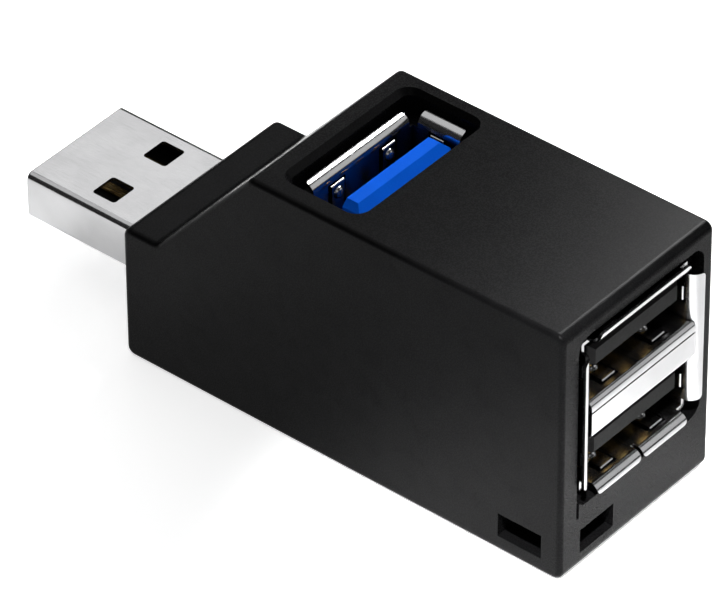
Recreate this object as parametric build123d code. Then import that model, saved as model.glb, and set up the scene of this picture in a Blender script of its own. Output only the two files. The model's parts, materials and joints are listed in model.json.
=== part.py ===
from build123d import *
import os

# Pocket USB hub: a stepped box that plugs straight into a computer. One SuperSpeed port faces up
# in a recess behind the sloping shoulder, and two Hi-Speed ports sit one above the other in the
# end face. Millimetres. +X runs from the plug's tip to the end face, +Z is up, and the origin is
# at the centre of the underside of the whole hub.

# ---- housing, the black shell ----------------------------------------------------------------
body_length = 44.6
body_width = 18.7
body_height = 24.2
neck_height = 12.8          # low block that holds the plug
neck_length = 3.6           # flat top of the neck, before the shoulder slopes up
shoulder_end = 13.5         # where the slope meets the top, from the neck face
wall = 1.6
end_wall = 2.0
corner_radius = 0.8         # edges that run across the body
rim_radius = 0.45           # edges that run round the two sides
loose_gap = 0.15            # room round a part that only has to pass through
seat_gap = 0.05             # between a moulding and the metal or board it sits against
cover_gap = 0.1             # seam round the bottom cover
cover_thickness = 1.4
tab_lap = 0.2               # the cover's neck tab is this much thicker than the wall

# ---- circuit board ---------------------------------------------------------------------------
board_top = 5.1             # height of the board's upper face
board_thickness = 1.0
board_start = 1.9           # from the neck face
board_end_gap = 7.2         # from the board's end to the end face
board_side_gap = 0.3        # to the housing's side walls
board_corner = 0.5
pin_gap = 0.1               # room round a pin in its hole
pin_below_board = 0.8
guide_height = 1.6          # top of a port's pin guide, above the board

# ---- plug, standard-A ------------------------------------------------------------------------
plug_width = 12.0
plug_height = 4.5
plug_exposed = 13.4
plug_inside = 6.0
plug_sheet = 0.3
plug_corner = 0.65
plug_tip_rounding = 0.14
plug_window_length = 2.4    # latch windows in the two broad faces
plug_window_width = 2.6
plug_window_corner = 0.3
plug_window_from_tip = 6.9
plug_tongue_thickness = 1.95
plug_tongue_setback = 0.4
plug_tongue_bevel = 0.2
plug_block_length = 4.0
plug_leg_place = 3.95       # from the neck face to the middle of the shell's legs
leg_width = 1.5             # of a leg through the board

# ---- standard-A receptacles ------------------------------------------------------------------
port_width = 12.5           # clear opening
port_height = 5.12
port_sheet = 0.3
lip_corner = 0.4            # rounding of a lip's two outer corners
port_seat = 12.0            # from the mouth to the floor that the plug stops at
tongue_width = 11.1
tongue_thickness = 1.84
tongue_gap = 0.64           # between the tongue and the wall behind it
latch_pitch = 6.2           # between the two springs of a broad wall, and the plug's windows
latch_width = 1.5
latch_slot = 0.3            # cut round a spring
latch_root = 9.4            # from the mouth
latch_tip = 1.3
latch_lean = 0.2            # the spring's tip leans into the opening by this much
latch_lap = 0.3             # a spring runs this far into the wall it grows from
dimple_radius = 0.58
dimple_rise = 0.6           # above the wall's inner face
side_latch_width = 1.3

usb3_lip_radius = 0.9
usb3_side_lip = 1.1         # radius of the lips on the two short walls
usb3_side_lip_length = 4.2
usb3_lip_end_gap = 0.4      # a long lip stops this far short of the opening's corner
usb3_dimple = 2.1           # from the mouth
usb3_centre = 19.5          # from the neck face
usb3_shift = 0.2            # the port sits this far off the middle of the body
usb3_mouth_depth = 1.2      # below the top face
usb3_tongue_setback = 0.3
usb3_tongue_root = 2.0      # how deep the tongue stands in its base
usb3_tip_cut = 0.7          # slope on the tongue's upper front edge
usb3_corner_cut = 0.55      # clipped corners of the tongue's tip
usb3_leg_spread = 3.2       # between the two legs of a short wall
usb3_leg_width = 1.0
usb3_recess_length = 7.7
usb3_recess_width = 15.0
usb3_recess_shift = -0.15   # from the port's centre, towards the plug
usb3_recess_radius = 1.0
usb3_plug_bevel = 0.5       # width of the soft edge on the side towards the plug
usb3_side_bevel = 0.35      # and on the two sides; the end side has a sharp edge
usb3_bevel_depth = 0.5
usb3_recess_floor = 1.0     # thickness

stack_top_lip = 1.15        # radii of the lips
stack_side_lip = 1.15
stack_bottom_lip = 0.85
stack_shift = 0.35          # the stack sits this far off the middle of the body
stack_proud = 0.45          # the lips stand out of the end face by this much
stack_depth = 17.6
stack_bottom = 7.3          # lower opening, from the underside of the hub
stack_bar = 3.6             # between the two openings
stack_bar_overhang = 0.2    # the bar's front is this much wider than the opening on each side
stack_tongue_setback = 0.95
stack_tip_cut = 0.4
stack_corner_cut = 0.5
stack_leg_places = (9.3, 15.6)
stack_skirt_cut = 1.0       # height of the notch above the floor wall, behind the seat
back_shield_corner = 0.4
stack_recess_above = 0.4    # room round the lips
stack_recess_below = 0.4
stack_recess_beside = 0.35
stack_slit_width = 0.3      # the near corner of the pocket runs down in a narrow slit
stack_slit_length = 1.0
stack_dimple = 2.9          # from the mouth
stack_recess_radius = 1.3
stack_recess_depth = 1.1
stack_lip_split = 0.35      # gap in the middle of the bottom lip
stack_lip_end_gap = 0.65
bar_groove = 0.16
bar_groove_place = 0.95     # below the bar's upper face
bar_setback = 0.1           # behind the lips
bar_back_gap = 0.3          # to the block that the plug stops at
fold_radius = 0.45          # of folded port sheet, on its middle line

# ---- contacts --------------------------------------------------------------------------------
contact_rows = (-3.5, -1.0, 1.0, 3.5)
superspeed_rows = (-4.0, -2.0, 0.0, 2.0, 4.0)
contact_width = 1.0
superspeed_width = 0.5
contact_sheet = 0.25
contact_bend = 0.25         # radius of a contact's bends, on its middle line
contact_slot_gap = 0.12     # room beside a spring in its tongue
contact_slot_depth = 0.75
contact_slot_end = 0.4      # room past a spring's tip
contact_crest = 0.42        # a spring bows out of its tongue by this much
contact_hook = 0.5          # its tip goes into the tongue by this much
contact_knee = 0.9          # from the tip to where it leaves the tongue
stack_spring = (2.0, 4.4, 8.6)      # tip, crest and root, from the mouth
upper_row_drop = 16.0       # where each row goes down to the board, from the mouth
lower_row_drop = 13.4
usb3_spring = (5.2, 7.2, 10.6)
usb3_contact_width = 0.8
usb3_spring_row = -0.9      # where the pins go down, from the tongue's contact face
usb3_pad_row = 1.15
usb3_spring_bend = (13.0, 13.9)     # from the mouth, where a spring's tail turns to its row
usb3_pad = (1.7, 3.7, 4.6)          # start, end and row of a flat pad
plug_blade_tips = (1.4, 2.3)        # outer pair and inner pair, from the plug's tip
plug_blade_dip = (8.0, 8.9)         # where the blades dip into the tongue
plug_blade_depth = 1.15             # below the plug's axis
plug_blade_bend = 0.2
plug_blade_tail = (0.5, 1.1, 2.0)   # behind the tongue: bend, foot and end
plug_spring = (9.3, 10.2, 11.2)     # tip, crest and root, from the plug's tip
plug_spring_depth = 0.35
plug_spring_crest = 0.45
plug_spring_tail = (2.6, 2.9, 3.8)
plug_slot_gap = 0.15

# ---- strap hole at the lower near corner of the end ------------------------------------------
strap_height = 2.3
strap_floor = 1.45
strap_side_length = 4.3
strap_end_width = 4.15
strap_post_x = 1.9          # corner post left between the two openings
strap_post_y = 2.45
strap_wall = 0.8

# ---- snap hooks and posts of the bottom cover ------------------------------------------------
hook_places = (8.5, 32.6)   # from the neck face, clear of the legs
hook_length = 4.0
hook_thickness = 1.0
hook_height = 3.4           # above the cover's upper face
hook_reach = 0.45
barb_catch = 0.3            # the barb's underside slopes by this much, and its top by barb_lead
barb_lead = 0.5
post_places = (11.0, 25.0)
post_spread = 5.6
post_radius = 1.0
rib_length = 1.2            # ribs of the housing that hold the board down
rib_height = 4.0
rib_lap = 0.8               # over the board's edge

# ---- chip components: (from the neck face, y, length, width, height, lies along Y) ----------
capacitors = [
    (24.9, 2.2, 1.6, 0.8, 0.8, True),
    (24.9, 4.6, 1.6, 0.8, 0.8, True),
    (24.9, -0.3, 1.6, 0.8, 0.8, True),
    (26.2, 2.2, 1.6, 0.8, 0.8, True),
    (9.2, 5.6, 1.6, 0.8, 0.8, False),
    (9.2, -5.6, 1.6, 0.8, 0.8, False),
]
under_resistors = [
    (14.5, -2.4, 1.6, 0.8, 0.45, True),
    (14.5, 0.0, 1.6, 0.8, 0.45, True),
    (14.5, 2.4, 1.6, 0.8, 0.45, True),
    (23.6, 0.0, 1.6, 0.8, 0.45, True),
]
under_bulk = [(7.5, -2.6, 3.2, 1.6, 1.6, True), (7.5, 2.6, 3.2, 1.6, 1.6, True)]
under_fuse = (14.5, -5.5, 3.2, 1.6, 0.7, True)
cap_share = 0.18            # each end cap's share of a component's length
chip_place = 13.2
chip_length = 9.9
chip_width = 3.9
chip_height = 1.5
chip_stand = 0.15           # air under the chip
chip_bevel = 0.15
chip_leads_per_side = 14
chip_lead_pitch = 0.635
chip_lead_width = 0.25
chip_lead_sheet = 0.15
chip_lead_bend = 0.1
chip_lead_shoulder = 0.8    # above the board
chip_lead_steps = (0.4, 0.55, 1.0)  # knee, heel and toe, from the chip's side
crystal_place = 24.9
crystal_y = -3.6
crystal_length = 3.2
crystal_width = 2.5
crystal_base_height = 0.42
crystal_lid_height = 0.28
crystal_lid_inset = 0.15
crystal_lid_bevel = 0.1

# ---- worked out from the values above --------------------------------------------------------
overall_length = plug_exposed + body_length + stack_proud
tip_x = -overall_length / 2
neck_x = tip_x + plug_exposed
end_x = neck_x + body_length
half_width = body_width / 2
inner_half_width = half_width - wall
board_bottom = board_top - board_thickness
pin_tip = board_bottom - pin_below_board
plug_axis = board_top + plug_height / 2
usb3_x = neck_x + usb3_centre
usb3_mouth = body_height - usb3_mouth_depth
usb3_depth = usb3_mouth - board_top
stack_mouth = end_x + stack_proud
stack_top = stack_bottom + 2 * port_height + stack_bar
stack_middle = (stack_bottom + stack_top) / 2
tongue_face = port_height / 2 - tongue_gap - tongue_thickness
spring_level = tongue_face + contact_sheet / 2 + seat_gap
usb3_foot = pin_tip - usb3_mouth
strap_far_x = end_x - strap_post_x - strap_side_length
strap_far_y = -half_width + strap_post_y + strap_end_width
board_end_x = end_x - board_end_gap


def block(x, y, z):
    """A box between two values on each axis."""
    size = [high - low for low, high in (x, y, z)]
    middle = [(high + low) / 2 for low, high in (x, y, z)]
    return Pos(*middle) * Box(*size)


def slab(points, y):
    """A closed outline in X and Z, drawn out along Y."""
    outline = make_face(Plane.XZ * Polyline(*points, close=True))
    return Pos(0, y[1], 0) * extrude(outline, y[1] - y[0])


def strip(points, thickness, width, y=0.0, bend=0.35):
    """A strip of sheet metal: its middle line in X and Z with rounded bends, centred on y."""
    line = FilletPolyline(*points, radius=bend)
    outline = make_face(Plane.XZ * offset(line, thickness / 2, side=Side.BOTH, closed=True))
    return Pos(0, y, 0) * extrude(outline, width / 2, both=True)


def rounded_bar(x, width, height, radius, z=0.0):
    """A bar along X with rounded long edges."""
    section = Plane.YZ * RectangleRounded(width, height, radius)
    return Pos(x[0], 0, z) * extrude(section, x[1] - x[0])


def group(shapes):
    """Separate solids that share one node."""
    return Compound(children=[solid for shape in shapes for solid in shape.solids()])


def grown(shape_box, gap):
    """The (x, y, z) pairs of a box, moved out by a gap all round in X and Y."""
    x, y, z = shape_box
    return (x[0] - gap, x[1] + gap), (y[0] - gap, y[1] + gap), z


# ---- housing ---------------------------------------------------------------------------------
def side_outline(inset=0.0, end_inset=0.0, floor=0.0):
    """The body's outline seen from the side, moved in by a wall."""
    slope = (body_height - neck_height) / (shoulder_end - neck_length)
    along = (1 + slope ** 2) ** 0.5 * inset / slope
    shoulder_x = neck_length + along - inset / slope
    top_x = shoulder_end + along - inset / slope
    return [
        (neck_x + inset, floor),
        (end_x - end_inset, floor),
        (end_x - end_inset, body_height - inset),
        (neck_x + top_x, body_height - inset),
        (neck_x + shoulder_x, neck_height - inset),
        (neck_x + inset, neck_height - inset),
    ]


def outer_shape():
    """The whole outer form with its rounded edges."""
    shape = slab(side_outline(), (-half_width, half_width))
    shape = fillet(shape.edges().filter_by(Axis.Y), corner_radius)
    sides = shape.faces().filter_by(Axis.Y)
    rims = [edge for side in sides for edge in side.edges()]
    return fillet(rims, rim_radius)


def upright_port(shape):
    """Turn a port from its own frame (mouth towards +X, tongue up) to face up out of the top."""
    return Pos(usb3_x, usb3_shift, usb3_mouth) * Rot(0, 0, 180) * Rot(0, -90, 0) * shape


def usb3_recess():
    """The pocket in the top face with its soft edge, and the hole that the port's shell stands in."""
    depth = usb3_mouth_depth + max(usb3_lip_radius, usb3_side_lip) + loose_gap
    middle = usb3_x + usb3_recess_shift
    mouth = RectangleRounded(usb3_recess_length, usb3_recess_width, usb3_recess_radius)
    wide = RectangleRounded(
        usb3_recess_length + usb3_plug_bevel,
        usb3_recess_width + 2 * usb3_side_bevel,
        usb3_recess_radius + usb3_side_bevel,
    )
    pocket = Pos(middle, 0, body_height) * extrude(mouth, -depth)
    upper = Pos(middle - usb3_plug_bevel / 2, 0, body_height) * wide
    lower = Pos(middle, 0, body_height - usb3_bevel_depth) * mouth
    half_x = port_height / 2 + port_sheet + loose_gap
    half_y = port_width / 2 + port_sheet + loose_gap
    hole = block((usb3_x - half_x, usb3_x + half_x), (-half_y, half_y), (board_top, body_height))
    return Pos(0, usb3_shift, 0) * (pocket + loft([upper, lower]) + hole)


def usb3_well():
    """The thicker stretch of the top wall that the recess is sunk into."""
    depth = usb3_mouth_depth + max(usb3_lip_radius, usb3_side_lip) + loose_gap + usb3_recess_floor
    middle = usb3_x + usb3_recess_shift
    half = (usb3_recess_length + wall) / 2
    return block((middle - half - usb3_plug_bevel, middle + half), (-inner_half_width, inner_half_width),
                 (body_height - depth, body_height - wall))


def stack_recess():
    """The pocket in the end face round the lips, and the hole that the shell passes through."""
    low = stack_bottom - stack_bottom_lip - stack_recess_below
    high = stack_top + stack_top_lip + stack_recess_above
    width = port_width + 2 * (stack_side_lip + stack_recess_beside)
    outline = RectangleRounded(width, high - low, stack_recess_radius)
    pocket = Pos(end_x, 0, (low + high) / 2) * extrude(Plane.YZ * outline, -stack_recess_depth)
    gap = port_sheet + loose_gap
    hole = block((end_x - 2 * end_wall, end_x), (-port_width / 2 - gap, port_width / 2 + gap),
                 (stack_bottom - gap, stack_top + gap))
    slit = block((end_x - stack_recess_depth, end_x), (-width / 2, stack_slit_width - width / 2),
                 (low - stack_slit_length, low + stack_recess_radius))
    return Pos(0, stack_shift, 0) * (pocket + hole + slit)


def plug_slot():
    """The slot in the neck face that the plug is lowered through before the cover closes it."""
    half = plug_width / 2 + loose_gap
    x = (neck_x - wall, neck_x + 2 * wall)
    rounded = rounded_bar(x, 2 * half, plug_height + 2 * loose_gap, plug_corner + loose_gap, plug_axis)
    return rounded + block(x, (-half, half), (-wall, plug_axis))


def strap_tunnel():
    """The passage for a lanyard, in at the side and out at the end, round the corner post."""
    z = (strap_floor, strap_floor + strap_height)
    side = block((strap_far_x, end_x - strap_post_x), (-half_width - wall, strap_far_y), z)
    end = block((strap_far_x, end_x + wall), (-half_width + strap_post_y, strap_far_y), z)
    return side + end


def strap_block():
    """The walls inside the corner that keep the lanyard away from the board."""
    return block((strap_far_x - strap_wall, end_x - end_wall / 2),
                 (-half_width + wall / 2, strap_far_y + strap_wall),
                 (cover_thickness, strap_floor + strap_height + strap_wall))


def hook_arm(place, side):
    """The (x, y, z) pairs of one snap hook's arm."""
    x = neck_x + place
    outer = inner_half_width - cover_gap
    y = sorted((side * (outer - hook_thickness), side * outer))
    return (x - hook_length / 2, x + hook_length / 2), y, (cover_thickness, cover_thickness + hook_height)


def hook_barb(place, side, gap=0.0):
    """The wedge on a hook that snaps into the side wall, grown by a gap to make its pocket."""
    inner = side * (inner_half_width - cover_gap)
    outer = side * (inner_half_width - cover_gap + hook_reach + gap)
    top = cover_thickness + hook_height + gap
    low = cover_thickness + hook_height - 2 * hook_reach - gap
    points = [(inner, low), (outer, low + barb_catch), (outer, top - barb_lead), (inner, top)]
    wedge = Plane.YZ * make_face(Polyline(*points, close=True))
    return Pos(neck_x + place, 0, 0) * extrude(wedge, hook_length / 2 + gap, both=True)


def hooks():
    """Every (place, side) of the cover's snap hooks."""
    return [(place, side) for place in hook_places for side in (-1, 1)]


def board_ribs():
    """Short ribs on the side walls that hold the board down."""
    near = inner_half_width - board_side_gap - rib_lap
    far = inner_half_width + wall / 2
    ribs = []
    for place in post_places:
        x = (neck_x + place - rib_length / 2, neck_x + place + rib_length / 2)
        for side in (-1, 1):
            y = sorted((side * near, side * far))
            ribs.append(block(x, y, (board_top + seat_gap, board_top + rib_height)))
    return ribs


def housing_body():
    """The five-sided upper shell, open underneath."""
    cavity = slab(side_outline(wall, end_wall, -wall), (-inner_half_width, inner_half_width))
    shell = outer_shape() - cavity
    shell = shell + usb3_well() + strap_block()
    for rib in board_ribs():
        shell = shell + rib
    shell = shell - usb3_recess() - stack_recess() - plug_slot() - strap_tunnel()
    for place, side in hooks():
        shell = shell - hook_barb(place, side, cover_gap)
    return shell


def bottom_cover():
    """The plate let into the underside, with snap hooks, board posts and the neck's lower wall."""
    y = inner_half_width - cover_gap
    plate = block((neck_x + wall + cover_gap, end_x - end_wall - cover_gap), (-y, y), (0, cover_thickness))
    half = plug_width / 2 + loose_gap - cover_gap
    tab = block((neck_x, neck_x + wall + tab_lap), (-half, half), (0, board_top - cover_gap))
    low_front = tab.edges().filter_by(Axis.Y).sort_by(lambda edge: edge.center().X + edge.center().Z)[0]
    tab = fillet(low_front, corner_radius)
    cover = plate + tab + block((neck_x + wall, neck_x + 2 * wall), (-half, half), (0, cover_thickness))
    for place, side in hooks():
        cover = cover + block(*hook_arm(place, side)) + hook_barb(place, side)
    height = board_bottom - cover_thickness
    for place in post_places:
        for side in (-1, 1):
            post = Pos(neck_x + place, side * post_spread, cover_thickness + height / 2)
            cover = cover + post * Cylinder(post_radius, height)
    return cover


# ---- plug ------------------------------------------------------------------------------------
def plug_legs():
    """The (x, y, z) pairs of the shell's two legs through the board."""
    x = (neck_x + plug_leg_place - leg_width / 2, neck_x + plug_leg_place + leg_width / 2)
    outer = plug_width / 2
    z = (pin_tip, plug_axis)
    return [(x, (outer - plug_sheet, outer), z), (x, (-outer, plug_sheet - outer), z)]


def plug_shell():
    """The folded steel tube with two latch windows in each broad face."""
    x = (tip_x, neck_x + plug_inside)
    shell = rounded_bar(x, plug_width, plug_height, plug_corner, plug_axis)
    front = shell.faces().sort_by(Axis.X)[0]
    shell = fillet(front.edges(), plug_tip_rounding)
    shell = shell - rounded_bar((x[0] - 1, x[1] + 1), plug_width - 2 * plug_sheet,
                                plug_height - 2 * plug_sheet, plug_corner - plug_sheet, plug_axis)
    outline = RectangleRounded(plug_window_length, plug_window_width, plug_window_corner)
    window = extrude(outline, plug_height, both=True)
    for side in (-1, 1):
        shell = shell - Pos(tip_x + plug_window_from_tip, side * latch_pitch / 2, plug_axis) * window
    for leg in plug_legs():
        shell = shell + block(*leg)
    return shell


def plug_usb2_contacts():
    """Four blades on the tongue that run back and down to pads on the board."""
    top = plug_axis + contact_sheet / 4
    low = plug_axis - plug_blade_depth
    pad = board_top + contact_sheet / 2
    bend, foot, end = (neck_x + plug_inside + step for step in plug_blade_tail)
    dip, level = (tip_x + step for step in plug_blade_dip)
    outer_row = max(contact_rows)
    blades = []
    for y in contact_rows:
        start = tip_x + plug_blade_tips[0 if abs(y) == outer_row else 1]
        path = [(start, top), (dip, top), (level, low), (bend, low), (foot, pad), (end, pad)]
        blades.append(strip(path, contact_sheet, contact_width, y, plug_blade_bend))
    return group(blades)


def plug_superspeed_contacts():
    """Five springs behind the blades, with rounded crests above the tongue."""
    level = plug_axis - plug_spring_depth
    pad = board_top + contact_sheet / 2
    tip, crest, root = (tip_x + step for step in plug_spring)
    bend, foot, end = (neck_x + plug_inside + step for step in plug_spring_tail)
    path = [(tip, level), (crest, plug_axis + plug_spring_crest), (root, level), (bend, level), (foot, pad),
            (end, pad)]
    return group([strip(path, contact_sheet, superspeed_width, y, contact_bend) for y in superspeed_rows])


def plug_insulator():
    """The plastic tongue that fills the lower half of the plug."""
    floor = plug_axis - plug_height / 2 + plug_sheet
    half = plug_width / 2 - plug_sheet - seat_gap
    tongue = block((tip_x + plug_tongue_setback, neck_x + plug_inside), (-half, half),
                   (floor, floor + plug_tongue_thickness))
    nose = tongue.faces().sort_by(Axis.X)[0].edges()
    tongue = chamfer(nose, plug_tongue_bevel)
    corners = tongue.edges().filter_by(Axis.X).group_by(Axis.Z)[0]
    tongue = chamfer(corners, plug_corner - plug_sheet)
    room = superspeed_width / 2 + plug_slot_gap
    x = (tip_x + plug_spring[0] - 2 * plug_slot_gap, neck_x + plug_inside - plug_block_length)
    z = (plug_axis - plug_spring_depth - contact_sheet, plug_axis + plug_height)
    for y in superspeed_rows:
        tongue = tongue - block(x, (y - room, y + room), z)
    return tongue - plug_usb2_contacts() - plug_superspeed_contacts()


def plug_pin_block():
    """The moulding that closes the back of the plug above the tongue."""
    half = plug_width / 2 - plug_sheet - seat_gap
    rear = neck_x + plug_inside
    low = plug_axis - plug_height / 2 + plug_sheet + plug_tongue_thickness
    solid = block((rear - plug_block_length, rear), (-half, half),
                  (low, plug_axis + plug_height / 2 - plug_sheet))
    corners = solid.edges().filter_by(Axis.X).group_by(Axis.Z)[-1]
    return chamfer(corners, plug_corner - plug_sheet) - plug_superspeed_contacts()


# ---- receptacle pieces, each in the port's own frame -----------------------------------------
# The mouth is the plane X = 0 with the plug coming from +X, the opening is centred on the origin
# of Y and Z, and the tongue is in its upper half.
def lip(length, radius, run):
    """A rolled quarter-round lip: its wall's inner face is Z = 0 and it turns out towards +Z."""
    face = CenterArc((-radius, radius), radius, -90, 90)
    back = CenterArc((-radius, radius), radius - port_sheet, 0, -90)
    root = Polyline(back @ 1, (-run, port_sheet), (-run, 0), face @ 0)
    profile = make_face([face, Line(face @ 1, back @ 0), back, root])
    flange = extrude(Plane.XZ * profile, length / 2, both=True)
    corners = [edge for edge in flange.edges() if edge.length < 1.1 * port_sheet
               and edge.center().X > -port_sheet and abs(edge.center().Y) > length / 2 - port_sheet]
    return fillet(corners, lip_corner)


def latch_cut(y, width, sheet_face):
    """The slot round one spring in the wall whose inner face is at Z = sheet_face."""
    half = width / 2 + latch_slot
    return block((-latch_root, -latch_tip + latch_slot), (y - half, y + half),
                 (sheet_face - port_sheet, sheet_face + 2 * port_sheet))


def latch(y, width, sheet_face, dimple_place):
    """One spring, rooted at the back of its slot, with a round dimple near its free end."""
    middle = sheet_face + port_sheet / 2
    path = [(-latch_root - latch_lap, middle), (-latch_root + latch_lap, middle),
            (-latch_tip, middle - latch_lean)]
    dimple = Pos(-dimple_place, y, sheet_face - dimple_rise + dimple_radius) * Sphere(dimple_radius)
    behind = block((-dimple_place - dimple_radius, -dimple_place + dimple_radius),
                   (y - dimple_radius, y + dimple_radius), (middle, middle + 2 * dimple_radius))
    dimple = dimple - behind
    return strip(path, port_sheet, width, y, fold_radius) + dimple


def turned(shape, quarter_turns):
    """The same piece on another wall, turned about the port's axis."""
    return Rot(90 * quarter_turns, 0, 0) * shape


def wall_with_latches(shell, face, rows, width, dimple_place, quarter_turns):
    """Cut the slots and add the springs on one wall of a port."""
    for y in rows:
        shell = shell - turned(latch_cut(y, width, face), quarter_turns)
        shell = shell + turned(latch(y, width, face, dimple_place), quarter_turns)
    return shell


def tube(depth, height, mouth):
    """The four flat walls of a port, behind its lips."""
    outer = block((-depth, -mouth), (-port_width / 2 - port_sheet, port_width / 2 + port_sheet),
                  (-height / 2 - port_sheet, height / 2 + port_sheet))
    inner = block((-depth - 1, 1), (-port_width / 2, port_width / 2), (-height / 2, height / 2))
    return outer - inner


def side_wall_pairs():
    """The two (low, high) pairs in Y of a port's side walls."""
    outer = port_width / 2 + port_sheet
    return (port_width / 2, outer), (-outer, -port_width / 2)


def tongue_block(setback, seat, tip_cut, corner_cut):
    """A tongue with a sloped upper front edge and clipped corners."""
    half = tongue_width / 2
    z = (tongue_face, tongue_face + tongue_thickness)
    solid = block((-seat - port_sheet, -setback), (-half, half), z)
    corners = solid.edges().filter_by(Axis.Z).group_by(Axis.X)[-1]
    solid = chamfer(corners, corner_cut)
    front = solid.faces().sort_by(Axis.X)[-1]
    upper = front.edges().sort_by(Axis.Z)[-1]
    return chamfer(upper, tip_cut)


def spring_points(tip, crest, root):
    """Middle line of a contact spring: a hooked tip in the tongue, a crest outside it, and a root."""
    return [(-tip, tongue_face + contact_hook), (-tip - contact_knee, tongue_face - seat_gap),
            (-crest, tongue_face - contact_crest), (-root, spring_level)]


def contact_slots(tip, root, width):
    """Room in the tongue for the free ends of the contacts."""
    half = width / 2 + contact_slot_gap
    x = (-root + contact_slot_end, -tip + contact_slot_end)
    z = (tongue_face - tongue_thickness, tongue_face + contact_slot_depth)
    return [block(x, (y - half, y + half), z) for y in contact_rows]


# ---- SuperSpeed port that faces up -----------------------------------------------------------
def usb3_port_shell():
    """Deep-drawn shell with four rolled lips, standing on the board on four legs."""
    shell = tube(usb3_depth, port_height, usb3_side_lip)
    rows = (-latch_pitch / 2, latch_pitch / 2)
    broad_lip = lip(port_width - 2 * usb3_lip_end_gap, usb3_lip_radius, usb3_side_lip)
    for turns in (0, 2):
        shell = shell + turned(Pos(0, 0, port_height / 2) * broad_lip, turns)
        shell = wall_with_latches(shell, port_height / 2, rows, latch_width, usb3_dimple, turns)
    side_lip = lip(usb3_side_lip_length, usb3_side_lip, usb3_side_lip)
    for turns in (1, 3):
        shell = shell + turned(Pos(0, 0, port_width / 2) * side_lip, turns)
        shell = wall_with_latches(shell, port_width / 2, (0,), side_latch_width, usb3_dimple, turns)
    for leg in usb3_legs():
        shell = shell + block(*leg)
    return shell


def usb3_legs():
    """The (x, y, z) pairs, in the port's frame, of the shell's legs."""
    x = (usb3_foot, -usb3_depth + usb3_leg_width)
    half = usb3_leg_width / 2
    places = (-usb3_leg_spread / 2, usb3_leg_spread / 2)
    return [(x, y, (z - half, z + half)) for z in places for y in side_wall_pairs()]


def usb3_port_usb2_contacts():
    """Four springs on the tongue's contact face, carried down to the board."""
    bend, down = usb3_spring_bend
    row = tongue_face + usb3_spring_row
    path = spring_points(*usb3_spring) + [(-bend, spring_level), (-down, row), (usb3_foot, row)]
    return group([strip(path, contact_sheet, usb3_contact_width, y, contact_bend) for y in contact_rows])


def usb3_port_superspeed_contacts():
    """Five flat pads near the tongue's tip, carried down inside the tongue to the board."""
    start, end, down = usb3_pad
    row = tongue_face + usb3_pad_row
    level = tongue_face + contact_sheet / 4
    path = [(-start, level), (-end, level), (-down, row), (usb3_foot, row)]
    return group([strip(path, contact_sheet, superspeed_width, y, contact_bend) for y in superspeed_rows])


def usb3_filling(x):
    """A block that fills the inside of the port between two places along it."""
    half = port_width / 2 - seat_gap
    high = port_height / 2 - seat_gap
    return block(x, (-half, half), (-high, high))


def usb3_port_tongue():
    """The blue tongue, which carries both rows of contacts and stands in the black base."""
    root = -port_seat - usb3_tongue_root
    whole = tongue_block(usb3_tongue_setback, port_seat + usb3_tongue_root, usb3_tip_cut, usb3_corner_cut)
    tongue = whole - block((2 * root, root), (-tongue_width, tongue_width), (-tongue_width, tongue_width))
    tip, _, spring_root = usb3_spring
    for slot in contact_slots(tip, spring_root, usb3_contact_width):
        tongue = tongue - slot
    return tongue - usb3_port_usb2_contacts() - usb3_port_superspeed_contacts()


def usb3_port_base():
    """The block that closes the bottom of the port, with a socket for the tongue's root."""
    base = usb3_filling((-usb3_depth + guide_height, -port_seat))
    half = tongue_width / 2 + seat_gap
    socket = block((-port_seat - usb3_tongue_root, 0), (-half, half),
                   (tongue_face - seat_gap, tongue_face + tongue_thickness + seat_gap))
    return base - socket - usb3_port_usb2_contacts() - usb3_port_superspeed_contacts()


def usb3_port_pin_guide():
    """The plate on the board that keeps the port's nine pins apart."""
    plate = usb3_filling((-usb3_depth + seat_gap, -usb3_depth + guide_height))
    return plate - usb3_port_usb2_contacts() - usb3_port_superspeed_contacts()


# ---- two Hi-Speed ports, one above the other -------------------------------------------------
def stack_place(shape):
    """Move a piece from the stack's own frame to the end face."""
    return Pos(stack_mouth, stack_shift, stack_middle) * shape


def deck_offset():
    """From the stack's middle to the middle of either opening."""
    return (port_height + stack_bar) / 2


def stack_legs():
    """The (x, y, z) pairs of the stack's legs, in its own frame."""
    z = (pin_tip - stack_middle, stack_bottom - stack_middle)
    half = leg_width / 2
    return [((-x - half, -x + half), y, z) for x in stack_leg_places for y in side_wall_pairs()]


def stack_skirt():
    """The side walls' lower edges, which come down to the board."""
    x = (-stack_depth + port_sheet, board_end_x - stack_mouth)
    z = (board_top + seat_gap - stack_middle, stack_bottom - stack_middle)
    return [block(x, y, z) for y in side_wall_pairs()]


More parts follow.
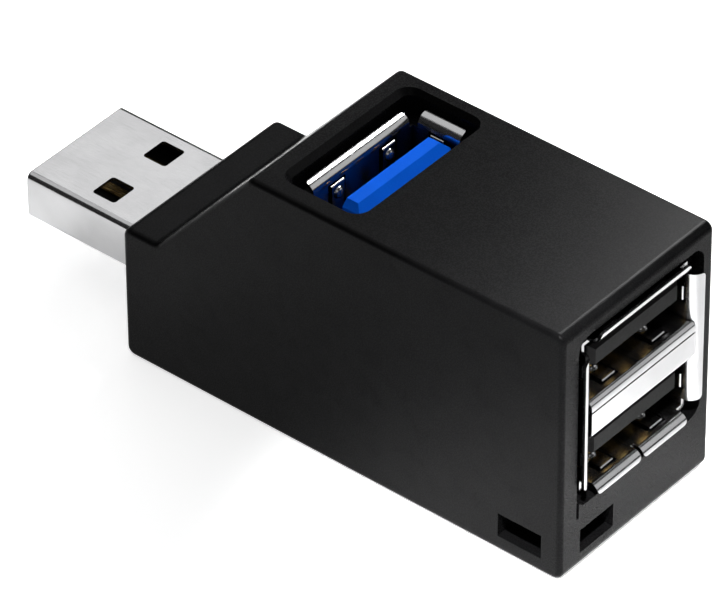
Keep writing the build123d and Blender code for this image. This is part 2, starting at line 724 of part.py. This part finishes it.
def stacked_port_shell():
    """One steel shell round both openings, with rolled lips; the bottom lip is in two halves."""
    height = stack_top - stack_bottom
    shell = tube(stack_depth - port_sheet, height, stack_side_lip)
    inner = port_width / 2
    z = (-height, -height / 2 + stack_skirt_cut)
    shell = shell - block((-stack_depth, -port_seat), (-inner, inner), z)
    broad = port_width - 2 * stack_lip_end_gap
    tall = height - 2 * stack_lip_end_gap
    shell = shell + Pos(0, 0, height / 2) * lip(broad, stack_top_lip, stack_side_lip)
    side_lip = lip(tall, stack_side_lip, stack_side_lip)
    for turns in (1, 3):
        shell = shell + turned(Pos(0, 0, port_width / 2) * side_lip, turns)
    half_lip = (broad - stack_lip_split) / 2
    bottom_lip = lip(half_lip, stack_bottom_lip, stack_side_lip)
    for side in (-1, 1):
        y = side * (half_lip + stack_lip_split) / 2
        shell = shell + turned(Pos(0, y, height / 2) * bottom_lip, 2)
    rows = (-latch_pitch / 2, latch_pitch / 2)
    for turns in (0, 2):
        shell = wall_with_latches(shell, height / 2, rows, latch_width, stack_dimple, turns)
    decks = (-deck_offset(), deck_offset())
    for turns in (1, 3):
        shell = wall_with_latches(shell, port_width / 2, decks, side_latch_width, stack_dimple, turns)
    for leg in stack_legs():
        shell = shell + block(*leg)
    for piece in stack_skirt():
        shell = shell + piece
    return shell


def stacked_port_middle_shield():
    """The folded bar between the openings, with springs for the port above and below."""
    face = (stack_bar - port_sheet) / 2
    half = port_width / 2 - seat_gap
    front_half = port_width / 2 + stack_bar_overhang
    back = -port_seat + bar_back_gap
    front = -port_sheet / 2 - bar_setback
    path = [(back, face), (front, face), (front, -face), (back, -face)]
    shield = strip(path, port_sheet, 2 * front_half, 0.0, fold_radius)
    for side in (-1, 1):
        y = sorted((side * half, side * port_width))
        shield = shield - block((-stack_depth, front - port_sheet), y, (-stack_bar, stack_bar))
    groove_z = stack_bar / 2 - bar_groove_place
    z = (groove_z - bar_groove / 2, groove_z + bar_groove / 2)
    shield = shield - block((-bar_setback - bar_groove, 1), (-port_width, port_width), z)
    rows = (-latch_pitch / 2, latch_pitch / 2)
    for turns in (0, 2):
        shield = wall_with_latches(shield, -stack_bar / 2, rows, latch_width, stack_dimple, turns)
    return shield


def stacked_port_back_shield():
    """The steel plate that closes the back of the stack."""
    outer = port_width / 2 + port_sheet
    plate = block((-stack_depth, -stack_depth + port_sheet), (-outer, outer),
                  (board_top + seat_gap - stack_middle, stack_top - stack_middle + port_sheet))
    return fillet(plate.edges().filter_by(Axis.X), back_shield_corner)


def deck_contacts(deck, drop):
    """Four spring contacts of one deck, in the stack's frame."""
    shift = deck * deck_offset()
    path = spring_points(*stack_spring) + [(-drop, spring_level), (-drop, pin_tip - stack_middle - shift)]
    springs = [strip(path, contact_sheet, contact_width, y, contact_bend) for y in contact_rows]
    return group([Pos(0, 0, shift) * spring for spring in springs])


def stack_filling(z):
    """A block that fills the back of the stack between two heights above the underside of the hub."""
    half = port_width / 2 - seat_gap
    x = (-stack_depth + port_sheet + seat_gap, -port_seat)
    return block(x, (-half, half), (z[0] - stack_middle, z[1] - stack_middle))


def stacked_port_insulator():
    """The black block behind both openings, with a tongue for each."""
    solid = stack_filling((board_top + guide_height, stack_top - seat_gap))
    tongue = tongue_block(stack_tongue_setback, port_seat, stack_tip_cut, stack_corner_cut)
    tip, _, root = stack_spring
    for slot in contact_slots(tip, root, contact_width):
        tongue = tongue - slot
    for deck in (-1, 1):
        solid = solid + Pos(0, 0, deck * deck_offset()) * tongue
    return solid - deck_contacts(1, upper_row_drop) - deck_contacts(-1, lower_row_drop)


def stacked_port_pin_guide():
    """The plate on the board that spaces the eight pins."""
    plate = stack_filling((board_top + seat_gap, board_top + guide_height))
    return plate - deck_contacts(1, upper_row_drop) - deck_contacts(-1, lower_row_drop)


# ---- board and its components ----------------------------------------------------------------
def leg_holes():
    """The (x, y) pairs of every shell leg, where it goes through the board."""
    legs = [(x, y) for x, y, _ in plug_legs()]
    for _, y, z in usb3_legs():
        legs.append(((usb3_x + z[0], usb3_x + z[1]), (y[0] + usb3_shift, y[1] + usb3_shift)))
    for x, y, _ in stack_legs():
        legs.append(((stack_mouth + x[0], stack_mouth + x[1]), (y[0] + stack_shift, y[1] + stack_shift)))
    return legs


def pin_holes():
    """The (x, y) pairs of every contact pin, where it goes through the board."""
    half_pin = contact_sheet / 2
    rows = [
        (usb3_x + tongue_face + usb3_spring_row, usb3_shift, contact_rows, usb3_contact_width / 2),
        (usb3_x + tongue_face + usb3_pad_row, usb3_shift, superspeed_rows, superspeed_width / 2),
        (stack_mouth - upper_row_drop, stack_shift, contact_rows, contact_width / 2),
        (stack_mouth - lower_row_drop, stack_shift, contact_rows, contact_width / 2),
    ]
    return [((x - half_pin, x + half_pin), (y + shift - half, y + shift + half))
            for x, shift, places, half in rows for y in places]


def main_pcb():
    """The single board, notched round the cover's hooks and drilled for every pin."""
    half = inner_half_width - board_side_gap
    through = (board_bottom - board_thickness, board_top + board_thickness)
    board = block((neck_x + board_start, board_end_x), (-half, half), (board_bottom, board_top))
    board = fillet(board.edges().filter_by(Axis.Z), board_corner)
    for place, side in hooks():
        x, y, _ = hook_arm(place, side)
        board = board - block(*grown((x, y, through), 2 * cover_gap))
    for x, y in leg_holes() + pin_holes():
        board = board - block(*grown((x, y, through), pin_gap))
    return board


def component(place, under=False):
    """One chip component: its body and its two end caps."""
    distance, y, length, width, height, along_y = place
    cap = length * cap_share
    base = board_bottom - height / 2 if under else board_top + height / 2
    turn = Rot(0, 0, 90 if along_y else 0)
    where = Pos(neck_x + distance, y, base) * turn
    body = where * Box(length - 2 * cap, width, height)
    ends = [where * Pos(side * (length - cap) / 2, 0, 0) * Box(cap, width, height) for side in (-1, 1)]
    return body, ends


def components(places, under=False):
    """Bodies and end caps of a list of chip components."""
    made = [component(place, under) for place in places]
    return group([body for body, _ in made]), group([end for _, ends in made for end in ends])


def hub_controller_body():
    """The moulded package of the hub controller."""
    x = (neck_x + chip_place - chip_width / 2, neck_x + chip_place + chip_width / 2)
    z = (board_top + chip_stand, board_top + chip_height)
    package = block(x, (-chip_length / 2, chip_length / 2), z)
    top = package.faces().sort_by(Axis.Z)[-1].edges()
    return chamfer(top, chip_bevel)


def hub_controller_leads():
    """Gull-wing leads down both long sides."""
    shoulder = board_top + chip_lead_shoulder
    foot = board_top + chip_lead_sheet / 2
    knee, heel, toe = chip_lead_steps
    profile = [(chip_lead_sheet / 2, shoulder), (knee, shoulder), (heel, foot), (toe, foot)]
    leads = []
    for index in range(chip_leads_per_side):
        y = (index - (chip_leads_per_side - 1) / 2) * chip_lead_pitch
        for side in (-1, 1):
            path = [(neck_x + chip_place + side * (chip_width / 2 + reach), z) for reach, z in profile]
            leads.append(strip(path, chip_lead_sheet, chip_lead_width, y, chip_lead_bend))
    return group(leads)


def crystal_base():
    """Ceramic base of the clock crystal."""
    place = Pos(neck_x + crystal_place, crystal_y, board_top + crystal_base_height / 2)
    return place * Box(crystal_width, crystal_length, crystal_base_height)


def crystal_lid():
    """Metal lid of the clock crystal."""
    place = Pos(neck_x + crystal_place, crystal_y, board_top + crystal_base_height + crystal_lid_height / 2)
    size = (crystal_width - 2 * crystal_lid_inset, crystal_length - 2 * crystal_lid_inset)
    lid = place * Box(*size, crystal_lid_height)
    return chamfer(lid.faces().sort_by(Axis.Z)[-1].edges(), crystal_lid_bevel)


def build():
    """Every node of the hub by name."""
    capacitor_bodies, capacitor_terminals = components(capacitors)
    resistor_bodies, resistor_terminals = components(under_resistors, under=True)
    bulk_bodies, bulk_terminals = components(under_bulk, under=True)
    fuse_body, fuse_terminals = components([under_fuse], under=True)
    return {
        "housing_body": housing_body(),
        "bottom_cover": bottom_cover(),
        "main_pcb": main_pcb(),
        "plug_shell": plug_shell(),
        "plug_insulator": plug_insulator(),
        "plug_pin_block": plug_pin_block(),
        "plug_usb2_contacts": plug_usb2_contacts(),
        "plug_superspeed_contacts": plug_superspeed_contacts(),
        "usb3_port_shell": upright_port(usb3_port_shell()),
        "usb3_port_tongue": upright_port(usb3_port_tongue()),
        "usb3_port_base": upright_port(usb3_port_base()),
        "usb3_port_pin_guide": upright_port(usb3_port_pin_guide()),
        "usb3_port_usb2_contacts": upright_port(usb3_port_usb2_contacts()),
        "usb3_port_superspeed_contacts": upright_port(usb3_port_superspeed_contacts()),
        "stacked_port_shell": stack_place(stacked_port_shell()),
        "stacked_port_middle_shield": stack_place(stacked_port_middle_shield()),
        "stacked_port_back_shield": stack_place(stacked_port_back_shield()),
        "stacked_port_insulator": stack_place(stacked_port_insulator()),
        "stacked_port_pin_guide": stack_place(stacked_port_pin_guide()),
        "upper_port_contacts": stack_place(deck_contacts(1, upper_row_drop)),
        "lower_port_contacts": stack_place(deck_contacts(-1, lower_row_drop)),
        "hub_controller_body": hub_controller_body(),
        "hub_controller_leads": hub_controller_leads(),
        "crystal_base": crystal_base(),
        "crystal_lid": crystal_lid(),
        "capacitor_bodies": capacitor_bodies,
        "capacitor_terminals": capacitor_terminals,
        "resistor_bodies": resistor_bodies,
        "resistor_terminals": resistor_terminals,
        "bulk_capacitor_bodies": bulk_bodies,
        "bulk_capacitor_terminals": bulk_terminals,
        "fuse_body": fuse_body,
        "fuse_terminals": fuse_terminals,
    }


os.makedirs("parts", exist_ok=True)
for node_name, node_shape in build().items():
    export_step(node_shape, f"parts/{node_name}.step")
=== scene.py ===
import json
import math

import bpy
from mathutils import Matrix, Vector


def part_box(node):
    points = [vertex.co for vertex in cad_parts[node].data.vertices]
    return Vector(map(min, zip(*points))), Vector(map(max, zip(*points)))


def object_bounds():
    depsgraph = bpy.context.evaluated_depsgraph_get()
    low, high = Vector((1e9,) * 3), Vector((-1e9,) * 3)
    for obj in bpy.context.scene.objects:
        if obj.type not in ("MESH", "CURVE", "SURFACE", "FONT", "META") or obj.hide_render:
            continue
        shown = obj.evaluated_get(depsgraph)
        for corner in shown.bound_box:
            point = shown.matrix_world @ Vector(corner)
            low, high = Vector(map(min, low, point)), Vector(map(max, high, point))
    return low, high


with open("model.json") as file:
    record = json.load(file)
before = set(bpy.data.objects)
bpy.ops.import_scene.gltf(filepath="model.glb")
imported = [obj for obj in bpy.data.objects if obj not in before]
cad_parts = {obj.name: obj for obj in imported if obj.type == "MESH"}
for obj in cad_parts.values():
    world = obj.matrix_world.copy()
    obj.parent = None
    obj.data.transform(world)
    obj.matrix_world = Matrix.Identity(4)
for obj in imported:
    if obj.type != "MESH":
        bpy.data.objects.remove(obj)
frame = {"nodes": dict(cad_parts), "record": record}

cad_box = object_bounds()

# Everything is in metres, and places are measured from the middle of the housing's box, except
# where a comment says otherwise.

# ---- camera --------------------------------------------------------------------------------------
camera_azimuth = 40.075      # degrees; 0 looks along +Y
camera_elevation = 38.70
camera_roll = -0.465
camera_distance = 0.553
camera_aim_right = -0.00422  # the view's centre, along the picture
camera_aim_up = -0.00071
camera_lens = 351.5          # millimetres
camera_near = 0.01
camera_far = 20

# ---- floor ---------------------------------------------------------------------------------------
floor_reach = 1.2
floor_drop = 0.00005         # below the underside, so that the two faces don't fight
floor_shade = 0.92
floor_glow = 0.68            # a light table, so that the shadows stay pale
floor_roughness = 0.8
floor_specular = 0.2
paper_grain, paper_detail = 0.002, 3.0
paper_depth, paper_strength = 0.0001, 0.1

# ---- lights: place, side of the square, watts, and the point that it faces ------------------------
room_strength = 0.04
soft_boxes = {
    "overhead_box": ((-0.12, 0.02, 0.5), 0.56, 1.0, (0, 0, 0)),
    "plug_panel": ((-0.0894, 0.072, 0.0775), 0.045, 0.0095, (-0.0294, 0, 0.0025)),
    "top_panel": ((-0.0215, 0.1086, 0.112), 0.055, 0.32, (0, 0, 0)),
    "end_panel": ((0.27, 0.26, 0.22), 0.28, 0.22, (0, 0, 0)),
    "front_panel": ((0.36, -0.43, 0.45), 0.42, 0.3, (0, 0, 0)),
}
spot_cone = 3.8              # degrees
spot_power = 80.0
spot_radius = 0.02
spot_offset = (0.10, -0.12, 0.30)    # from the foot of the housing's near end corner, where it aims

# ---- moulded surfaces: sizes and depths are in grains of the mould's own texture ------------------
# "worn" is the paler colour that the flow marks mix in, and "specular" is the shader's own level.
grain_depth, grain_strength = 0.2, 0.35
grain_detail, grain_contrast = 3.0, 0.6
mottle_size, mottle_detail = 14, 4.0
wave_size, wave_detail = 30, 2.0
wave_depth, wave_strength = 0.3, 0.15
moulded_gloss = (-0.06, 0.08)        # added to the roughness, at low and high grain
moulded = {
    "black_abs": dict(colour=(0.0030, 0.0030, 0.0032), worn=(0.0045, 0.0045, 0.0047),
                      roughness=0.26, grain=0.00012, specular=0.035),
    "blue_pbt": dict(colour=(0.001, 0.088, 0.57), worn=(0.001, 0.079, 0.52),
                     roughness=0.5, grain=0.0002, specular=0.02),
    "black_pbt": dict(colour=(0.004, 0.004, 0.004), worn=(0.006, 0.006, 0.006),
                      roughness=0.4, grain=0.0002, specular=0.04),
    "solder_mask": dict(colour=(0.006, 0.08, 0.03), worn=(0.01, 0.11, 0.04),
                        roughness=0.3, grain=0.0004, specular=0.5),
    "epoxy": dict(colour=(0.012, 0.012, 0.013), worn=(0.02, 0.02, 0.02),
                  roughness=0.55, grain=0.00008),
    "white_ceramic": dict(colour=(0.7, 0.66, 0.58), worn=(0.62, 0.58, 0.5),
                          roughness=0.4, grain=0.0001),
    "brown_ceramic": dict(colour=(0.34, 0.2, 0.1), worn=(0.28, 0.16, 0.08),
                          roughness=0.4, grain=0.0001),
    "polyfuse_green": dict(colour=(0.02, 0.18, 0.07), worn=(0.03, 0.14, 0.06),
                           roughness=0.45, grain=0.0001),
}

# ---- plated sheet --------------------------------------------------------------------------------
cloud_size, cloud_detail = 0.003, 3.0
streak_size, streak_detail, streak_contrast = 0.00012, 4.0, 0.65
streak_depth, streak_strength = 0.000004, 0.3
scratch_size, scratch_detail, scratch_contrast = 0.0005, 5.0, 0.7
scratch_depth, scratch_strength = 0.000006, 0.25
plated_gloss = (-0.05, 0.09)
# Painted shade on the plating: an occlusion node darkens its colour towards each finish's dark shade
# colour, as deep in the ports.
painted_shade_reach = 0.0025                # painted shade: the plating's colour goes dark where other faces stand this near
painted_shade_openness = (0.42, 0.68)       # how open a place is where the painted shade is full, and where the plating keeps its own colour
painted_shade_samples = 8
rolled_along_x = (0.06, 1, 1)        # streaks drawn out along X
no_grain = (1, 1, 1)
grey_shade = (0.015, 0.015, 0.016)
# the last colour of each finish, shade, is the painted shade that it goes to in hollows
plated = {
    "plated_steel": dict(colour=(0.44, 0.44, 0.445), dull=(0.40, 0.40, 0.405), roughness=0.16,
                         grain_axis=rolled_along_x, shade=grey_shade),
    "gold_contact": dict(colour=(0.62, 0.42, 0.15), dull=(0.55, 0.36, 0.12), roughness=0.25,
                         grain_axis=rolled_along_x, shade=(0.16, 0.11, 0.04)),
    "tinned": dict(colour=(0.72, 0.72, 0.73), dull=(0.6, 0.6, 0.6), roughness=0.35,
                   grain_axis=no_grain, shade=grey_shade),
}

noise_spread = (0.3, 0.7)            # the part of a noise's range that it really covers


# ---- shader building blocks ------------------------------------------------------------------------
def shader_of(material):
    """The material's Principled shader."""
    return next(node for node in material.node_tree.nodes if node.type == "BSDF_PRINCIPLED")


def new_material(name, colour, roughness, metallic=0.0, specular=0.5):
    """A material whose constants are set on the shader's own sockets."""
    material = bpy.data.materials.new(name)
    material.use_nodes = True
    shader = shader_of(material)
    shader.inputs["Base Color"].default_value = (*colour, 1)
    shader.inputs["Roughness"].default_value = roughness
    shader.inputs["Metallic"].default_value = metallic
    shader.inputs["Specular IOR Level"].default_value = specular
    return material


def coordinates(tree, stretch):
    """Object coordinates, which are metres in the row's frame, stretched for grain."""
    place = tree.nodes.new("ShaderNodeTexCoord")
    mapping = tree.nodes.new("ShaderNodeMapping")
    mapping.inputs["Scale"].default_value = stretch
    tree.links.new(place.outputs["Object"], mapping.inputs["Vector"])
    return mapping.outputs["Vector"]


def noise(tree, size, detail, stretch=no_grain, contrast=0.5):
    """Noise with features about `size` metres across."""
    node = tree.nodes.new("ShaderNodeTexNoise")
    node.inputs["Scale"].default_value = 1 / size
    node.inputs["Detail"].default_value = detail
    node.inputs["Roughness"].default_value = contrast
    tree.links.new(coordinates(tree, stretch), node.inputs["Vector"])
    return node.outputs["Fac"]


def mapped(tree, value, low, high, spread=noise_spread):
    """A value whose spread is stretched to low..high."""
    node = tree.nodes.new("ShaderNodeMapRange")
    node.inputs["From Min"].default_value = spread[0]
    node.inputs["From Max"].default_value = spread[1]
    node.inputs["To Min"].default_value = low
    node.inputs["To Max"].default_value = high
    tree.links.new(value, node.inputs["Value"])
    return node.outputs["Result"]


def colour_mix(tree, factor, first):
    """A colour mix by a linked factor, from a constant colour; its B socket is still free."""
    node = tree.nodes.new("ShaderNodeMix")
    node.data_type = "RGBA"
    node.inputs["A"].default_value = (*first, 1)
    tree.links.new(factor, node.inputs["Factor"])
    return node


def blend_colour(tree, factor, first, second):
    """Two constant colours, mixed by a factor."""
    node = colour_mix(tree, factor, first)
    node.inputs["B"].default_value = (*second, 1)
    return node.outputs["Result"]


def painted_hollow_shade(tree, colours, dark):
    """The colours with painted shade, going dark where other faces stand close, as down in a port."""
    hollow = tree.nodes.new("ShaderNodeAmbientOcclusion")
    hollow.samples = painted_shade_samples
    hollow.inputs["Distance"].default_value = painted_shade_reach
    openness = mapped(tree, hollow.outputs["AO"], 0.0, 1.0, painted_shade_openness)
    node = colour_mix(tree, openness, dark)
    tree.links.new(colours, node.inputs["B"])
    return node.outputs["Result"]


def add_bump(tree, shader, heights):
    """Stack bumps: (height value, depth in metres, strength)."""
    normal = None
    for height, depth, strength in heights:
        node = tree.nodes.new("ShaderNodeBump")
        node.inputs["Strength"].default_value = strength
        node.inputs["Distance"].default_value = depth
        tree.links.new(height, node.inputs["Height"])
        if normal:
            tree.links.new(normal, node.inputs["Normal"])
        normal = node.outputs["Normal"]
    tree.links.new(normal, shader.inputs["Normal"])


def vary_roughness(tree, shader, value, roughness, gloss):
    """Roughness that follows a noise, a little below and above its middle value."""
    spread = mapped(tree, value, roughness + gloss[0], roughness + gloss[1])
    tree.links.new(spread, shader.inputs["Roughness"])


# ---- materials -------------------------------------------------------------------------------------
def moulded_plastic(name, colour, worn, roughness, grain, specular=0.35):
    """Moulded plastic: spark-eroded grain, faint flow marks and a slightly wavy face."""
    material = new_material(name, colour, roughness, specular=specular)
    tree, shader = material.node_tree, shader_of(material)
    mottling = noise(tree, grain * mottle_size, mottle_detail)
    colours = blend_colour(tree, mapped(tree, mottling, 0.0, 1.0), colour, worn)
    tree.links.new(colours, shader.inputs["Base Color"])
    fine = noise(tree, grain, grain_detail, contrast=grain_contrast)
    waves = noise(tree, grain * wave_size, wave_detail)
    vary_roughness(tree, shader, fine, roughness, moulded_gloss)
    add_bump(tree, shader, [(fine, grain * grain_depth, grain_strength),
                            (waves, grain * wave_depth, wave_strength)])
    return material


def plated_metal(name, colour, dull, roughness, grain_axis, shade):
    """Plated sheet: rolling streaks along one axis, fine scratches, slight clouding, and painted shade
    where other faces stand close.
    """
    material = new_material(name, colour, roughness, metallic=1.0)
    tree, shader = material.node_tree, shader_of(material)
    clouds = noise(tree, cloud_size, cloud_detail)
    clouded = blend_colour(tree, mapped(tree, clouds, 0.0, 1.0), colour, dull)
    # painted shade: the colour goes dark near other faces, as down in the ports
    tree.links.new(painted_hollow_shade(tree, clouded, shade), shader.inputs["Base Color"])
    streaks = noise(tree, streak_size, streak_detail, grain_axis, streak_contrast)
    scratches = noise(tree, scratch_size, scratch_detail, grain_axis, scratch_contrast)
    vary_roughness(tree, shader, streaks, roughness, plated_gloss)
    add_bump(tree, shader, [(streaks, streak_depth, streak_strength),
                            (scratches, scratch_depth, scratch_strength)])
    return material


def dress_nodes():
    """Give every CAD node the procedural material of its slot."""
    made = {slot: moulded_plastic(slot, **finish) for slot, finish in moulded.items()}
    made.update({slot: plated_metal(slot, **finish) for slot, finish in plated.items()})
    for subpart in frame["record"]["subparts"]:
        node = frame["nodes"][subpart["node"]]
        node.data.materials.clear()
        node.data.materials.append(made[subpart["material_slot"]])


# ---- camera, floor and lights ----------------------------------------------------------------------
def housing_corners():
    """The lowest and the highest corner of the housing's box."""
    return tuple(Vector(corner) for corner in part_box("housing_body"))


def housing_middle():
    """The middle of the housing's box, which the camera and the lights are measured from."""
    low, high = housing_corners()
    return (low + high) / 2


def add_camera():
    """A long lens from above the near end corner."""
    angles = (camera_azimuth, camera_elevation, camera_roll)
    azimuth, elevation, roll = (math.radians(angle) for angle in angles)
    back = Vector((math.sin(azimuth) * math.cos(elevation), -math.cos(azimuth) * math.cos(elevation),
                   math.sin(elevation)))
    level = Vector((0, 0, 1)).cross(back).normalized()
    upright = back.cross(level)
    right = level * math.cos(roll) + upright * math.sin(roll)
    up = upright * math.cos(roll) - level * math.sin(roll)
    camera = bpy.data.objects.new("camera", bpy.data.cameras.new("camera"))
    camera.data.lens = camera_lens
    camera.data.clip_start = camera_near
    camera.data.clip_end = camera_far
    place = housing_middle() + right * camera_aim_right + up * camera_aim_up + back * camera_distance
    turn = Matrix((right, up, back)).transposed().to_4x4()
    camera.matrix_world = Matrix.Translation(place) @ turn
    bpy.context.collection.objects.link(camera)
    bpy.context.scene.camera = camera


def add_floor():
    """A plain pale floor that glows a little, level with the underside."""
    mesh = bpy.data.meshes.new("floor")
    reach = floor_reach
    corners = [(-reach, -reach, 0), (reach, -reach, 0), (reach, reach, 0), (-reach, reach, 0)]
    mesh.from_pydata(corners, [], [(0, 1, 2, 3)])
    floor = bpy.data.objects.new("floor", mesh)
    floor.location.z = cad_box[0][2] - floor_drop
    material = new_material("floor_paper", (floor_shade,) * 3, floor_roughness, specular=floor_specular)
    tree, shader = material.node_tree, shader_of(material)
    shader.inputs["Emission Color"].default_value = (1, 1, 1, 1)
    shader.inputs["Emission Strength"].default_value = floor_glow
    paper = noise(tree, paper_grain, paper_detail)
    add_bump(tree, shader, [(paper, paper_depth, paper_strength)])
    mesh.materials.append(material)
    bpy.context.collection.objects.link(floor)


def place_lamp(name, light, place, target):
    """Put a light at a place, facing a target."""
    lamp = bpy.data.objects.new(name, light)
    lamp.location = place
    lamp.rotation_euler = (target - place).to_track_quat("-Z", "Y").to_euler()
    bpy.context.collection.objects.link(lamp)


def add_soft_box(name, offset, size, power, aim):
    """A square soft box."""
    light = bpy.data.lights.new(name, "AREA")
    light.shape = "SQUARE"
    light.size = size
    light.energy = power
    middle = housing_middle()
    place_lamp(name, light, middle + Vector(offset), middle + Vector(aim))


def add_floor_spot():
    """A soft pool of light on the floor at the near end corner, which the two faces there mirror."""
    light = bpy.data.lights.new("floor_spot", "SPOT")
    light.spot_size = math.radians(spot_cone)
    light.spot_blend = 1.0
    light.shadow_soft_size = spot_radius
    light.energy = spot_power
    low, high = housing_corners()
    corner = Vector((high.x, low.y, low.z))
    place_lamp("floor_spot", light, corner + Vector(spot_offset), corner)


def add_lights():
    """A dark room, a large box overhead, panels for the metal and the top, and a pool of light."""
    world = bpy.data.worlds.new("studio")
    bpy.context.scene.world = world
    world.use_nodes = True
    backdrop = world.node_tree.nodes["Background"]
    backdrop.inputs["Color"].default_value = (1, 1, 1, 1)
    backdrop.inputs["Strength"].default_value = room_strength
    for name, (offset, size, power, aim) in soft_boxes.items():
        add_soft_box(name, offset, size, power, aim)
    add_floor_spot()
    bpy.context.scene.view_settings.view_transform = "Standard"


add_camera()
add_floor()
add_lights()
dress_nodes()
